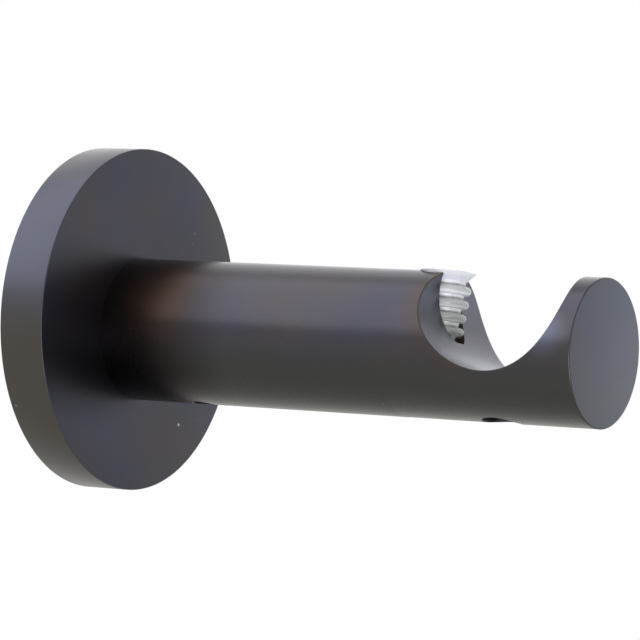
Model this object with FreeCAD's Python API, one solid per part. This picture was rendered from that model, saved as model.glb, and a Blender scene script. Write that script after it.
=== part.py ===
import FreeCAD, Part
import math
import os
from FreeCAD import Vector

os.makedirs("parts", exist_ok=True)

# Curtain pole bracket. All sizes are in millimetres.
# The origin is the centre of the wall plate, in the plane of the wall.
# +X runs out of the wall along the post, +Y along the curtain pole, and +Z up.

# Rose, the round cover that hides the wall plate
rose_diameter = 60.4
rose_thickness = 8.7
rose_rim_wall = 2.4
rose_front_wall = 2.6
rose_front_chamfer = 0.3
rose_hole_play = 0.3

# Post, the round bar that stands out of the wall
post_diameter = 25.0
post_drop = 1.7
post_end_chamfer = 0.3
post_root_chamfer = 0.3

# Saddle, the open seat that the pole drops into from above
pole_diameter = 25.0
pole_clearance = 0.85
pole_from_wall = 84.3
saddle_rise = 8.4
end_lug_thickness = 3.25
saddle_edge_chamfer = 0.2

# Pocket in the saddle's back wall, and the clear ribbed plug pushed into it
pocket_setback = 14.4
pocket_mouth_diameter = 8.7
pocket_floor_diameter = 7.75
pocket_floor_gap = 0.65
plug_play = 0.03
head_diameter = 9.4
head_rim_drop = 0.2
head_edge = 0.12
head_dome = 0.45
head_flat_diameter = 3.0
head_shoulder_diameter = 6.6
head_shoulder_drop = 0.13
neck_length = 0.73
rib_count = 4
rib_pitch = 2.32
rib_width = 1.5
rib_height = 1.12
rib_shrink = 0.12
rib_shoulder = 0.5
rib_crown_width = 0.6
plug_tip_length = 0.55
plug_tip_chamfer = 0.4

# Lock screw, a cup-point grub screw that clamps the post on its spigot
lock_screw_diameter = 4.0
lock_screw_recess = 1.5
lock_screw_from_rose = 15.1
lock_screw_socket = 2.0
lock_screw_socket_depth = 2.0
lock_screw_cup = 0.5
thread_play = 0.05

# Hole for the screw that holds the pole, counterbored from below
pole_screw_setback = 1.1
pole_screw_hole_diameter = 4.5
pole_screw_counterbore = 7.0
pole_screw_counterbore_depth = 4.2

# Wall plate and its three countersunk screw holes
plate_thickness = 3.0
plate_play = 0.3
plate_edge_chamfer = 0.4
wall_screw_circle = 38.0
wall_screw_count = 3
wall_screw_hole = 5.0
wall_screw_countersink = 9.6

# Spigot on the wall plate, and the screw that holds it there
spigot_diameter = 12.0
spigot_length = 31.0
spigot_play = 0.15
spigot_end_chamfer = 1.0
post_bore_spare = 2.0
spigot_screw_diameter = 5.0
spigot_screw_length = 14.0
spigot_screw_head = 9.2
spigot_screw_socket = 3.0
spigot_screw_socket_depth = 1.8
spigot_screw_recess = 0.2
spigot_tapping_spare = 3.0

# Sizes that follow from those above
rose_radius = rose_diameter / 2
post_radius = post_diameter / 2
post_z = -post_drop
crown_z = post_z + post_radius
saddle_radius = pole_diameter / 2 + pole_clearance
saddle_z = post_z + saddle_rise
projection = pole_from_wall + saddle_radius + end_lug_thickness
pocket_x = pole_from_wall - pocket_setback
head_rim_z = crown_z - head_rim_drop
neck_radius = pocket_mouth_diameter / 2 - plug_play - rib_height
neck_top_z = head_rim_z - (head_diameter / 2 - neck_radius)
first_rib_top_z = neck_top_z - neck_length
last_rib_foot_z = first_rib_top_z - (rib_count - 1) * rib_pitch - rib_width
plug_tip_z = last_rib_foot_z - plug_tip_length
pocket_floor_z = plug_tip_z - pocket_floor_gap
pocket_depth = crown_z - pocket_floor_z
post_bore_radius = spigot_diameter / 2 + spigot_play
rose_hole_radius = spigot_diameter / 2 + post_drop + rose_hole_play
post_bore_end = plate_thickness + spigot_length + post_bore_spare
lock_screw_x = rose_thickness + lock_screw_from_rose
pole_screw_x = pole_from_wall - pole_screw_setback
plate_radius = rose_radius - rose_rim_wall - plate_play

out = Vector(1, 0, 0)
along_pole = Vector(0, 1, 0)
up = Vector(0, 0, 1)


def save(shape, node):
    """Write one sub-part to its own STEP file."""
    shape.exportStep("parts/" + node + ".step")


def turned_about_x(outline, axis_z):
    """Turn an outline, given as pairs of x and radius, about a line along X."""
    corners = [Vector(x, 0, axis_z + radius) for x, radius in outline]
    face = Part.Face(Part.makePolygon(corners + corners[:1]))
    return face.revolve(Vector(0, 0, axis_z), out, 360)


def turned_about_z(outline, axis_x):
    """Turn an outline, given as pairs of radius and z, about a vertical line."""
    corners = [Vector(axis_x + radius, 0, z) for radius, z in outline]
    face = Part.Face(Part.makePolygon(corners + corners[:1]))
    return face.revolve(Vector(axis_x, 0, 0), up, 360)


def hexagon(across_flats, depth, base, direction):
    """A hexagonal prism, for a key socket."""
    corner = across_flats / math.sqrt(3)
    side = direction.cross(along_pole)
    corners = []
    for step in range(6):
        angle = math.radians(60 * step)
        corners.append(base + along_pole * (corner * math.cos(angle)) + side * (corner * math.sin(angle)))
    return Part.Face(Part.makePolygon(corners + corners[:1])).extrude(direction * depth)


def pocket_radius_at(z):
    """The pocket narrows from its mouth at the post's crown to its floor."""
    share = (z - pocket_floor_z) / pocket_depth
    return (pocket_floor_diameter + (pocket_mouth_diameter - pocket_floor_diameter) * share) / 2


def make_rose():
    """A turned cup: a flat front and a rim, open at the back, with a hole for the spigot."""
    inner_radius = rose_radius - rose_rim_wall
    inner_front = rose_thickness - rose_front_wall
    return turned_about_x([
        (0, inner_radius),
        (0, rose_radius),
        (rose_thickness - rose_front_chamfer, rose_radius),
        (rose_thickness, rose_radius - rose_front_chamfer),
        (rose_thickness, rose_hole_radius),
        (inner_front, rose_hole_radius),
        (inner_front, inner_radius),
    ], 0)


def make_post_bar():
    """The plain bar, bored from the back for the spigot, with its front edge broken."""
    return turned_about_x([
        (rose_thickness, post_bore_radius),
        (rose_thickness, post_radius - post_root_chamfer),
        (rose_thickness + post_root_chamfer, post_radius),
        (projection - post_end_chamfer, post_radius),
        (projection, post_radius - post_end_chamfer),
        (projection, 0),
        (post_bore_end, 0),
        (post_bore_end, post_bore_radius),
    ], post_z)


def cut_saddle(bar):
    """Cut the pole's seat across the bar, and soften the edge that the cut leaves."""
    reach = post_diameter
    seat = Part.makeCylinder(saddle_radius, 2 * reach, Vector(pole_from_wall, -reach, saddle_z), along_pole)
    body = bar.cut(seat)
    rim = []
    for edge in body.Edges:
        box = edge.BoundBox
        inside = abs((box.XMin + box.XMax) / 2 - pole_from_wall) < saddle_radius
        curved_across = min(box.XLength, box.YLength) > saddle_edge_chamfer
        if inside and curved_across:
            rim.append(edge)
    return body.makeChamfer(saddle_edge_chamfer, rim)


def make_pocket():
    """The tapered hole for the plug, with a countersunk mouth that its head sits in."""
    mouth_radius = head_diameter / 2 + plug_play
    above = crown_z + head_diameter
    cone_foot = head_rim_z - (mouth_radius - pocket_radius_at(head_rim_z))
    return turned_about_z([
        (0, pocket_floor_z),
        (pocket_floor_diameter / 2, pocket_floor_z),
        (pocket_radius_at(cone_foot), cone_foot),
        (mouth_radius, head_rim_z),
        (mouth_radius, above),
        (0, above),
    ], pocket_x)


def hole_between(x, diameter, bottom_z, top_z):
    """A vertical hole in the plane of the post's axis, from one height to another."""
    return Part.makeCylinder(diameter / 2, top_z - bottom_z, Vector(x, 0, bottom_z), up)


def make_post():
    """The bar with its saddle, the plug's pocket and the two screw holes underneath."""
    body = cut_saddle(make_post_bar())
    body = body.cut(make_pocket())
    underside_z = post_z - post_radius
    shoulder_z = underside_z + pole_screw_counterbore_depth
    lock_hole = hole_between(lock_screw_x, lock_screw_diameter, underside_z, post_z)
    counterbore = hole_between(pole_screw_x, pole_screw_counterbore, underside_z, shoulder_z)
    pole_screw_hole = hole_between(pole_screw_x, pole_screw_hole_diameter, shoulder_z, saddle_z)
    return body.cut(lock_hole).cut(counterbore).cut(pole_screw_hole)


def make_plug():
    """A clear plug turned in outline: a domed countersunk head, a neck and round ribs."""
    rim_radius = head_diameter / 2
    dome_foot = head_rim_z + head_edge
    dome_top = dome_foot + head_dome
    outline = [
        (0, dome_top),
        (head_flat_diameter / 2, dome_top),
        (head_shoulder_diameter / 2, dome_top - head_shoulder_drop),
        (rim_radius - head_edge, dome_foot),
        (rim_radius, head_rim_z),
        (neck_radius, neck_top_z),
    ]
    for number in range(rib_count):
        rib_top = first_rib_top_z - number * rib_pitch
        rib_middle = rib_top - rib_width / 2
        rib_foot = rib_top - rib_width
        tip = pocket_radius_at(rib_middle) - plug_play - number * rib_shrink
        root = tip - rib_height
        shoulder = tip - rib_shoulder
        outline.append((root, rib_top))
        outline.append((shoulder, rib_top))
        outline.append((tip, rib_middle + rib_crown_width / 2))
        outline.append((tip, rib_middle - rib_crown_width / 2))
        outline.append((shoulder, rib_foot))
        outline.append((root, rib_foot))
    outline.append((root - plug_tip_chamfer, plug_tip_z))
    outline.append((0, plug_tip_z))
    return turned_about_z(outline, pocket_x)


def make_lock_screw():
    """A grub screw whose cup point bears on the spigot, with a hexagon socket below."""
    radius = lock_screw_diameter / 2 - thread_play
    point_z = post_z - spigot_diameter / 2
    tail_z = post_z - post_radius + lock_screw_recess
    edge = lock_screw_cup / 2
    body = turned_about_z([
        (0, tail_z),
        (radius - edge, tail_z),
        (radius, tail_z + edge),
        (radius, point_z - lock_screw_cup),
        (radius - lock_screw_cup, point_z),
        (radius - 2 * lock_screw_cup, point_z),
        (0, point_z - lock_screw_cup),
    ], lock_screw_x)
    socket = hexagon(lock_screw_socket, lock_screw_socket_depth, Vector(lock_screw_x, 0, tail_z), up)
    return body.cut(socket)


def make_wall_plate():
    """A steel disc with three countersunk holes, and a countersink behind for the spigot's screw."""
    plate = turned_about_x([
        (0, 0),
        (0, plate_radius),
        (plate_thickness - plate_edge_chamfer, plate_radius),
        (plate_thickness, plate_radius - plate_edge_chamfer),
        (plate_thickness, 0),
    ], 0)
    hole_radius = wall_screw_hole / 2
    sink_radius = wall_screw_countersink / 2
    sink_depth = sink_radius - hole_radius
    for number in range(wall_screw_count):
        angle = math.pi / 2 + 2 * math.pi * number / wall_screw_count
        y = wall_screw_circle / 2 * math.cos(angle)
        z = wall_screw_circle / 2 * math.sin(angle)
        hole = Part.makeCylinder(hole_radius, plate_thickness, Vector(0, y, z), out)
        sink = Part.makeCone(hole_radius, sink_radius, sink_depth,
                             Vector(plate_thickness - sink_depth, y, z), out)
        plate = plate.cut(hole).cut(sink)
    return plate.cut(spigot_screw_seat())


def spigot_screw_seat():
    """The countersunk hole for the screw that comes through the plate from behind."""
    shank = spigot_screw_diameter / 2
    head = spigot_screw_head / 2 + thread_play
    foot = spigot_screw_recess
    return turned_about_x([
        (0, 0),
        (0, head),
        (foot, head),
        (foot + head - shank, shank),
        (plate_thickness, shank),
        (plate_thickness, 0),
    ], post_z)


def make_spigot():
    """A steel stud that the post slides over, tapped at the back for its screw."""
    end = plate_thickness + spigot_length
    radius = spigot_diameter / 2
    tapping = spigot_screw_diameter / 2
    tapping_end = spigot_screw_recess + spigot_screw_length + spigot_tapping_spare
    return turned_about_x([
        (plate_thickness, tapping),
        (plate_thickness, radius),
        (end - spigot_end_chamfer, radius),
        (end, radius - spigot_end_chamfer),
        (end, 0),
        (tapping_end, 0),
        (tapping_end, tapping),
    ], post_z)


def make_spigot_screw():
    """A countersunk socket screw, its head just under the plate's back face."""
    shank = spigot_screw_diameter / 2 - thread_play
    head = spigot_screw_head / 2
    back = spigot_screw_recess
    body = turned_about_x([
        (back, 0),
        (back, head),
        (back + head - shank, shank),
        (back + spigot_screw_length, shank),
        (back + spigot_screw_length, 0),
    ], post_z)
    socket = hexagon(spigot_screw_socket, spigot_screw_socket_depth, Vector(back, 0, post_z), out)
    return body.cut(socket)


save(make_rose(), "rose")
save(make_post(), "post")
save(make_plug(), "ribbed_plug")
save(make_lock_screw(), "lock_screw")
save(make_wall_plate(), "wall_plate")
save(make_spigot(), "spigot")
save(make_spigot_screw(), "spigot_screw")
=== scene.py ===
# %% [markdown]
# Load the measured model first. It holds the bracket's pieces at their real size, in metres,
# in one frame: the wall is the plane x = 0, X runs out of the wall along the post, Y along the
# curtain pole and Z up. Every visible piece below is a finer mesh that stands where its plain
# one is, so nothing here has to be fitted by eye.

# %% Load the measured model
import math

import bmesh
import bpy
from mathutils import Matrix, Vector


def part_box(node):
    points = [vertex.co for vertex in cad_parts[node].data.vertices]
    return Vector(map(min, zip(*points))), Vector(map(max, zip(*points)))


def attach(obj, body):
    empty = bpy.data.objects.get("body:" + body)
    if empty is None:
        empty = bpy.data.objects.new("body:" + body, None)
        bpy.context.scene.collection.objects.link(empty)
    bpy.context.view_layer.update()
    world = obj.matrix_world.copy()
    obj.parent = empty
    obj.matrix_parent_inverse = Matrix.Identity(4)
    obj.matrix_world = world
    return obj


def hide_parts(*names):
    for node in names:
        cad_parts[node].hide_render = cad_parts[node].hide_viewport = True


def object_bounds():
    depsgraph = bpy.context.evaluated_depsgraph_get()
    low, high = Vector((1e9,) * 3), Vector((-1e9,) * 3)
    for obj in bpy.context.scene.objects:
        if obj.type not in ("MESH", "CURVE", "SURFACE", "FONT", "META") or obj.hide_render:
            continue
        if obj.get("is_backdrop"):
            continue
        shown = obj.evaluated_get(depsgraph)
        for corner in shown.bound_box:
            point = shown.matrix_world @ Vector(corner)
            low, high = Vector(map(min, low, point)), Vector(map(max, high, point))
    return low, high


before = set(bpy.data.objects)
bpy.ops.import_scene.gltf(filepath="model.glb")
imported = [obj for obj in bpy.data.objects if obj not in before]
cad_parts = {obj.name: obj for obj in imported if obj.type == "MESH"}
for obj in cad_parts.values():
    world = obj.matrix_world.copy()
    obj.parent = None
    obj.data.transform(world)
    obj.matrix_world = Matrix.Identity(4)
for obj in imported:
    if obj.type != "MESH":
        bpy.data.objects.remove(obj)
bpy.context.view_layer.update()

MM = 0.001
print("pieces:", sorted(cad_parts))

# %% [markdown]
# The sizes that the meshes share are read from the measured boxes where a box tells them. The
# others, such as the walls of the rose and the seat for the pole, lie inside those boxes and
# are written once here. The post's axis is a little under the rose's centre, as on the real
# bracket.

# %% Sizes of the rose and the post
rose_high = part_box("rose")[1]
post_low, post_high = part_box("post")
rose_radius = rose_high.z
rose_thickness = rose_high.x
rose_rim_wall = 2.4 * MM
rose_front_wall = 2.6 * MM
post_radius = (post_high.z - post_low.z) / 2
post_z = (post_high.z + post_low.z) / 2
post_start = post_low.x
post_end = post_high.x
lug_thickness = 3.25 * MM
saddle_above_axis = 8.4 * MM
saddle_radius = 13.35 * MM
saddle_x = post_end - lug_thickness - saddle_radius
saddle_z = post_z + saddle_above_axis
print("rose radius", round(rose_radius / MM, 2), "post radius", round(post_radius / MM, 2))
print("saddle centre", round(saddle_x / MM, 2), round(saddle_z / MM, 2))

# %% [markdown]
# The camera repeats the photograph's viewpoint: a long lens from below the post's height,
# 31.7 degrees round from straight on, and rolled by 6 degrees, which is why the level post
# runs downhill in the picture. These angles came from fitting the outlines of the two discs
# and the bar. A camera looks along its own -Z, so its axes are built from the direction back
# to the lens and then turned by the roll.

# %% Camera
VIEW_AZIMUTH = math.radians(31.738)
VIEW_HEIGHT = math.radians(-5.126)
VIEW_ROLL = math.radians(5.995)
VIEW_DISTANCE = 633.78 * MM
VIEW_TARGET = Vector((45.592, 0, 1.513)) * MM
PICTURE_SIDE = 640
FOCAL_PIXELS = 3687.6
SENSOR_WIDTH = 36.0
NEAREST_SEEN = 10 * MM


def make_camera():
    """Stand the camera at the photograph's viewpoint."""
    back = Vector((
        math.sin(VIEW_AZIMUTH) * math.cos(VIEW_HEIGHT),
        -math.cos(VIEW_AZIMUTH) * math.cos(VIEW_HEIGHT),
        math.sin(VIEW_HEIGHT),
    ))
    level_right = Vector((math.cos(VIEW_AZIMUTH), math.sin(VIEW_AZIMUTH), 0))
    level_up = back.cross(level_right)
    right = math.cos(VIEW_ROLL) * level_right + math.sin(VIEW_ROLL) * level_up
    upward = back.cross(right)
    data = bpy.data.cameras.new("photo_camera")
    data.sensor_width = SENSOR_WIDTH
    data.sensor_fit = "HORIZONTAL"
    data.lens = FOCAL_PIXELS * SENSOR_WIDTH / PICTURE_SIDE
    data.clip_start = NEAREST_SEEN
    camera = bpy.data.objects.new("photo_camera", data)
    bpy.context.scene.collection.objects.link(camera)
    turned = Matrix((right, upward, back)).transposed().to_4x4()
    eye = VIEW_TARGET + VIEW_DISTANCE * back
    camera.matrix_world = Matrix.Translation(eye) @ turned
    return camera


camera = make_camera()
bpy.context.scene.camera = camera
print("lens in mm:", round(camera.data.lens, 1))

# %% [markdown]
# Most of this bracket is turned work, so most of its meshes are lathe meshes: an outline of
# distance along the axis and radius, swept round. Blender's Screw modifier could do it, but
# writing the rings by hand keeps every edge loop where it is wanted and gives closed, even
# quads. Corners are rounded in the outline itself, with a short arc in place of each sharp
# point, because real plated edges always catch a thin line of light. An arc may use up nearly
# half of each side next to its corner, so that two arcs on one side never cross.

# %% Outlines with rounded corners
LONGEST_REACH = 0.49


def arc_corner(before, corner, after, radius, steps):
    """Points of an arc that rounds one corner of an outline."""
    before, corner, after = Vector(before), Vector(corner), Vector(after)
    to_before = before - corner
    to_after = after - corner
    half = to_before.angle(to_after) / 2
    room = min(to_before.length, to_after.length) * LONGEST_REACH
    reach = min(radius / math.tan(half), room)
    radius = reach * math.tan(half)
    middle = (to_before.normalized() + to_after.normalized()).normalized()
    centre = corner + middle * (radius / math.sin(half))
    first = (corner + to_before.normalized() * reach - centre).normalized()
    last = (corner + to_after.normalized() * reach - centre).normalized()
    points = []
    for step in range(steps + 1):
        points.append(centre + radius * first.slerp(last, step / steps))
    return points


def rounded(outline, radii, steps=4):
    """Round the corners of an open outline, one radius to each point; 0 keeps the point sharp."""
    points = []
    for number, corner in enumerate(outline):
        radius = radii[number]
        if radius == 0 or number in (0, len(outline) - 1):
            points.append(Vector(corner))
            continue
        points += arc_corner(outline[number - 1], corner, outline[number + 1], radius, steps)
    return points


test_corner = rounded([(0, 0), (1, 0), (1, 1)], [0, 0.2, 0])
print("a rounded corner has", len(test_corner) - 2, "points")

# %% [markdown]
# The lathe joins the outline's points into rings. A point on the axis becomes one vertex, and
# the ring beside it closes onto that vertex with triangles. An outline that ends where it
# began makes a ring-shaped solid, such as the rose.

# %% Lathe
SAME_POINT = 0.0001 * MM
CREASE = 35


def add_piece(name, verts, faces, crease=CREASE):
    """Make a mesh object, with outward faces, and mark its edges sharper than the crease angle."""
    mesh = bpy.data.meshes.new(name)
    mesh.from_pydata([tuple(point) for point in verts], [], faces)
    shaper = bmesh.new()
    shaper.from_mesh(mesh)
    bmesh.ops.remove_doubles(shaper, verts=shaper.verts, dist=SAME_POINT)
    bmesh.ops.dissolve_degenerate(shaper, edges=shaper.edges, dist=SAME_POINT)
    bmesh.ops.recalc_face_normals(shaper, faces=shaper.faces)
    shaper.to_mesh(mesh)
    shaper.free()
    finish_surface(mesh, crease)
    piece = bpy.data.objects.new(name, mesh)
    bpy.context.scene.collection.objects.link(piece)
    return piece


def finish_surface(mesh, crease=CREASE):
    """Shade a mesh smoothly, apart from the edges that are sharper than the crease angle."""
    mesh.shade_smooth()
    mesh.set_sharp_from_angle(angle=math.radians(crease))


def lathe_mesh(outline, axis, steps):
    """Vertices and faces of an outline turned about X or Z; outline points are (along, radius)."""
    verts, faces, rings = [], [], []
    for along, radius in outline:
        if radius < SAME_POINT:
            rings.append([len(verts)] * steps)
            verts.append(axis_point(axis, along, 0, 0))
            continue
        rings.append(list(range(len(verts), len(verts) + steps)))
        for step in range(steps):
            verts.append(axis_point(axis, along, radius, 2 * math.pi * step / steps))
    for one, other in zip(rings, rings[1:]):
        for step in range(steps):
            after = (step + 1) % steps
            corners = [one[step], one[after], other[after], other[step]]
            distinct = list(dict.fromkeys(corners))
            if len(distinct) > 2:
                faces.append(distinct)
    return verts, faces


def axis_point(axis, along, radius, angle):
    """A point beside an axis, which is given as ("x", centre) or ("z", centre)."""
    direction, centre = axis
    across = radius * math.cos(angle)
    aside = radius * math.sin(angle)
    if direction == "x":
        return centre + Vector((along, aside, across))
    return centre + Vector((across, aside, along))


POST_AXIS = ("x", Vector((0, 0, post_z)))
ROSE_AXIS = ("x", Vector((0, 0, 0)))
print("axes ready, the post's axis at z =", round(post_z / MM, 2), "mm")

# %% [markdown]
# The rose is a turned or spun cup: a flat face, a plain rim and a hollow back that hides the
# wall plate. Its outline starts and ends halfway along the inside of the rim, so that all six
# corners can be rounded. Many steps round the rim keep the outline of this large disc smooth.

# %% Rose
ROSE_HOLE_RADIUS = 8.0 * MM
ROSE_FRONT_EDGE = 0.2 * MM
ROSE_BACK_EDGE = 0.12 * MM
ROSE_INNER_EDGE = 0.6 * MM
RIM_STEPS = 256


def make_rose():
    """A turned cup with a hole for the spigot in its front."""
    inner = rose_radius - rose_rim_wall
    back_of_front = rose_thickness - rose_front_wall
    start = (back_of_front / 2, inner)
    outline = [
        start,
        (0, inner),
        (0, rose_radius),
        (rose_thickness, rose_radius),
        (rose_thickness, ROSE_HOLE_RADIUS),
        (back_of_front, ROSE_HOLE_RADIUS),
        (back_of_front, inner),
        start,
    ]
    radii = [0, ROSE_BACK_EDGE, ROSE_BACK_EDGE, ROSE_FRONT_EDGE, ROSE_BACK_EDGE,
             ROSE_BACK_EDGE, ROSE_INNER_EDGE, 0]
    points = rounded(outline, radii)
    return add_piece("rose_cover", *lathe_mesh(points, ROSE_AXIS, RIM_STEPS))


rose_cover = make_rose()
print("rose cover:", len(rose_cover.data.polygons), "faces")

# %% [markdown]
# The post is one casting, a round bar with a seat for the pole cut across it. A boolean cut
# would leave a knife edge round the seat that no bevel follows evenly. The bar and the seat
# are both cylinders, though, and a cylinder unrolls into a flat sheet. So the edge between
# them, here called the rim, can be worked out point by point, moved sideways by an exact
# distance on either sheet, and joined by a narrow rounded strip.

# %% The rim between the bar and the seat
RIM_SOFTNESS = 0.2 * MM
RIM_ROUND_STEPS = 4
HALVINGS = 50


def bar_point(x, along_skin):
    """A point of the bar's skin, at a distance round it from the top, towards -Y."""
    angle = along_skin / post_radius
    return Vector((x, -post_radius * math.sin(angle), post_z + post_radius * math.cos(angle)))


def seat_point(along_seat, y):
    """A point of the seat, at a distance round it from its lowest line."""
    angle = along_seat / saddle_radius
    return Vector((
        saddle_x + saddle_radius * math.sin(angle),
        y,
        saddle_z - saddle_radius * math.cos(angle),
    ))


def rim_on_skin(direction):
    """Where a line drawn on the unrolled bar, from above the seat's middle, leaves the seat."""
    near, far = 0.0, 2 * post_radius + saddle_radius
    for _ in range(HALVINGS):
        middle = (near + far) / 2
        point = bar_point(saddle_x + middle * math.cos(direction), middle * math.sin(direction))
        across = math.hypot(point.x - saddle_x, point.z - saddle_z)
        if across < saddle_radius:
            near = middle
        else:
            far = middle
    return saddle_x + near * math.cos(direction), near * math.sin(direction)


def rim_section(x, along_skin):
    """Three points across the rim: its foot on the bar, its corner and its foot in the seat."""
    corner = bar_point(x, along_skin)
    fall = -math.sin(along_skin / post_radius)
    away = Vector((x - saddle_x, (corner.z - saddle_z) * fall))
    away = away.normalized() * RIM_SOFTNESS
    bar_foot = (x + away.x, along_skin + away.y)
    seat_angle = math.atan2(corner.x - saddle_x, saddle_z - corner.z)
    away = Vector(((corner.z - post_z) * math.sin(seat_angle), corner.y))
    away = away.normalized() * RIM_SOFTNESS
    seat_foot = (seat_angle * saddle_radius - away.x, corner.y - away.y)
    return bar_foot, corner, seat_foot


lowest_rim = rim_on_skin(math.pi / 2)
print("the rim reaches", round(lowest_rim[1] / MM, 2), "mm round the bar from its top")

# %% [markdown]
# One half of the post is drawn, from the top line round the near side to the bottom line, and
# then mirrored. Round the seat the grid runs like rays from the rim to the edges of a frame
# drawn on the unrolled bar, and the rays' points crowd towards the rim, where the skin bends
# most. Left of that frame the bar is plain rings, and to the right is the rounded end.

# %% Post surfaces
SKIN_STEPS = 96
FRAME_BOTTOM_STEPS = 72
RAY_STEPS = 14
RAY_CROWDING = 1.5
SEAT_STEPS = 20
SKIN_BEFORE_SEAT = 20 * MM
POST_END_EDGE = 0.2 * MM
POST_END_BAND = 3 * POST_END_EDGE
POST_BORE_RADIUS = 6.15 * MM
POST_BORE_END = 36 * MM


def frame_points():
    """Points down the left of the frame, along its bottom and up its right, unrolled."""
    left = saddle_x - SKIN_BEFORE_SEAT
    right = post_end - POST_END_EDGE
    half_round = math.pi * post_radius
    points = []
    for step in range(SKIN_STEPS):
        points.append((left, half_round * step / SKIN_STEPS))
    for step in range(FRAME_BOTTOM_STEPS):
        points.append((left + (right - left) * step / FRAME_BOTTOM_STEPS, half_round))
    for step in range(SKIN_STEPS + 1):
        points.append((right, half_round * (1 - step / SKIN_STEPS)))
    return points


def grid_faces(rows, first=0):
    """Quads between rows of vertices of equal length."""
    faces = []
    width = len(rows[0])
    for number in range(len(rows) - 1):
        for step in range(width - 1):
            corner = first + number * width + step
            faces.append((corner, corner + 1, corner + width + 1, corner + width))
    return faces


def near_half():
    """Rows of points across the skin round the seat, the rounded rim and half of the seat."""
    rows = []
    for frame_x, frame_skin in frame_points():
        direction = math.atan2(frame_skin, frame_x - saddle_x)
        bar_foot, corner, seat_foot = rim_section(*rim_on_skin(direction))
        row = []
        for step in range(RAY_STEPS + 1):
            share = 1 - (1 - step / RAY_STEPS) ** RAY_CROWDING
            x = frame_x + (bar_foot[0] - frame_x) * share
            skin = frame_skin + (bar_foot[1] - frame_skin) * share
            row.append(bar_point(x, skin))
        foot_on_bar = row[-1]
        foot_in_seat = seat_point(*seat_foot)
        for step in range(1, RIM_ROUND_STEPS):
            share = step / RIM_ROUND_STEPS
            bar_pull = foot_on_bar.lerp(corner, share)
            seat_pull = corner.lerp(foot_in_seat, share)
            row.append(bar_pull.lerp(seat_pull, share))
        for step in range(SEAT_STEPS + 1):
            row.append(seat_point(seat_foot[0], seat_foot[1] * (1 - step / SEAT_STEPS)))
        rows.append(row)
    return rows


half_rows = near_half()
print("rows across half of the seat:", len(half_rows), "of", len(half_rows[0]), "points")

# %% [markdown]
# The plain rings of the bar end at a flat back with the bore for the spigot in it, and the
# lug ends in a flat disc with a small rounded edge. The halves and the rings share their
# border points, so merging close points closes them into one watertight skin. A boolean needs
# that, so the open edges are counted.

# %% Post body
POST_END_STEPS = 6


def turned_stretch(verts, faces, outline, axis, steps):
    """Add a stretch of rings about an axis to a mesh in the making."""
    first = len(verts)
    new_verts, new_faces = lathe_mesh(outline, axis, steps)
    verts += new_verts
    faces += [tuple(first + corner for corner in face) for face in new_faces]


def make_post_body():
    """The bar and its seat as one closed mesh, before the small holes are cut."""
    verts, faces = [], []
    mirrored_rows = [[Vector((p.x, -p.y, p.z)) for p in row] for row in half_rows]
    for rows in (half_rows, mirrored_rows):
        faces += grid_faces(rows, len(verts))
        verts += [point for row in rows for point in row]
    frame_left = saddle_x - SKIN_BEFORE_SEAT
    back = [
        (POST_BORE_END, 0),
        (POST_BORE_END, POST_BORE_RADIUS),
        (post_start, POST_BORE_RADIUS),
        (post_start, post_radius),
        (frame_left, post_radius),
    ]
    turned_stretch(verts, faces, back, POST_AXIS, 2 * SKIN_STEPS)
    before_end = post_end - POST_END_BAND
    end_face = [(before_end, post_radius), (post_end, post_radius), (post_end, 0)]
    end_face = rounded(end_face, [0, POST_END_EDGE, 0], POST_END_STEPS)[1:]
    turned_stretch(verts, faces, end_face, POST_AXIS, 2 * SKIN_STEPS)
    return add_piece("post_bar", verts, faces)


def open_edges(piece):
    """How many edges of a mesh don't lie between two faces."""
    shaper = bmesh.new()
    shaper.from_mesh(piece.data)
    count = sum(1 for edge in shaper.edges if len(edge.link_faces) != 2)
    shaper.free()
    return count


post_bar = make_post_body()
print("post before its holes:", len(post_bar.data.polygons), "faces,",
      open_edges(post_bar), "open edges")

# %% [markdown]
# Holes with a true edge can be left to booleans, because each cutter is a clean closed mesh.
# The exact solver is slower than the fast one, but it copes with cutters that graze a wall,
# as the plug's pocket does where it breaks out through the seat.

# %% Cutting holes
def cut_with(piece, cutters):
    """Cut each cutter out of a piece, and remove the cutters."""
    for cutter in cutters:
        cut = piece.modifiers.new("cut", "BOOLEAN")
        cut.operation = "DIFFERENCE"
        cut.solver = "EXACT"
        cut.object = cutter
        bpy.context.view_layer.update()
        cut_piece = piece.evaluated_get(bpy.context.evaluated_depsgraph_get())
        result = bpy.data.meshes.new_from_object(cut_piece)
        piece.modifiers.clear()
        old = piece.data
        piece.data = result
        bpy.data.meshes.remove(old)
        bpy.data.objects.remove(cutter)
    finish_surface(piece.data)


print("the post reaches from", round(post_start / MM, 1), "to", round(post_end / MM, 1), "mm")

# %% [markdown]
# The plug's pocket is drilled down into the crown of the post, just behind the seat, and it
# narrows a little towards its floor. A countersink at its mouth takes the plug's head. The
# cutter runs on above the crown, because two faces in one place would confuse the boolean.

# %% The plug's pocket
HEAD_BELOW_CROWN = 0.2 * MM
POCKET_DEPTH = 12.09 * MM
POCKET_FLOOR_RADIUS = 3.875 * MM
POCKET_MOUTH_RADIUS = 4.35 * MM
POCKET_STEPS = 128
PLUG_PLAY = 0.03 * MM
CUTTER_OVERRUN = 5 * MM
plug_low, plug_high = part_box("ribbed_plug")
plug_x = (plug_low.x + plug_high.x) / 2
head_radius = (plug_high.x - plug_low.x) / 2
crown_z = post_high.z
head_rim_z = crown_z - HEAD_BELOW_CROWN
pocket_floor_z = crown_z - POCKET_DEPTH


def upright(x):
    """A vertical axis in the plane of the post's axis, for lathe meshes."""
    return ("z", Vector((x, 0, 0)))


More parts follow.
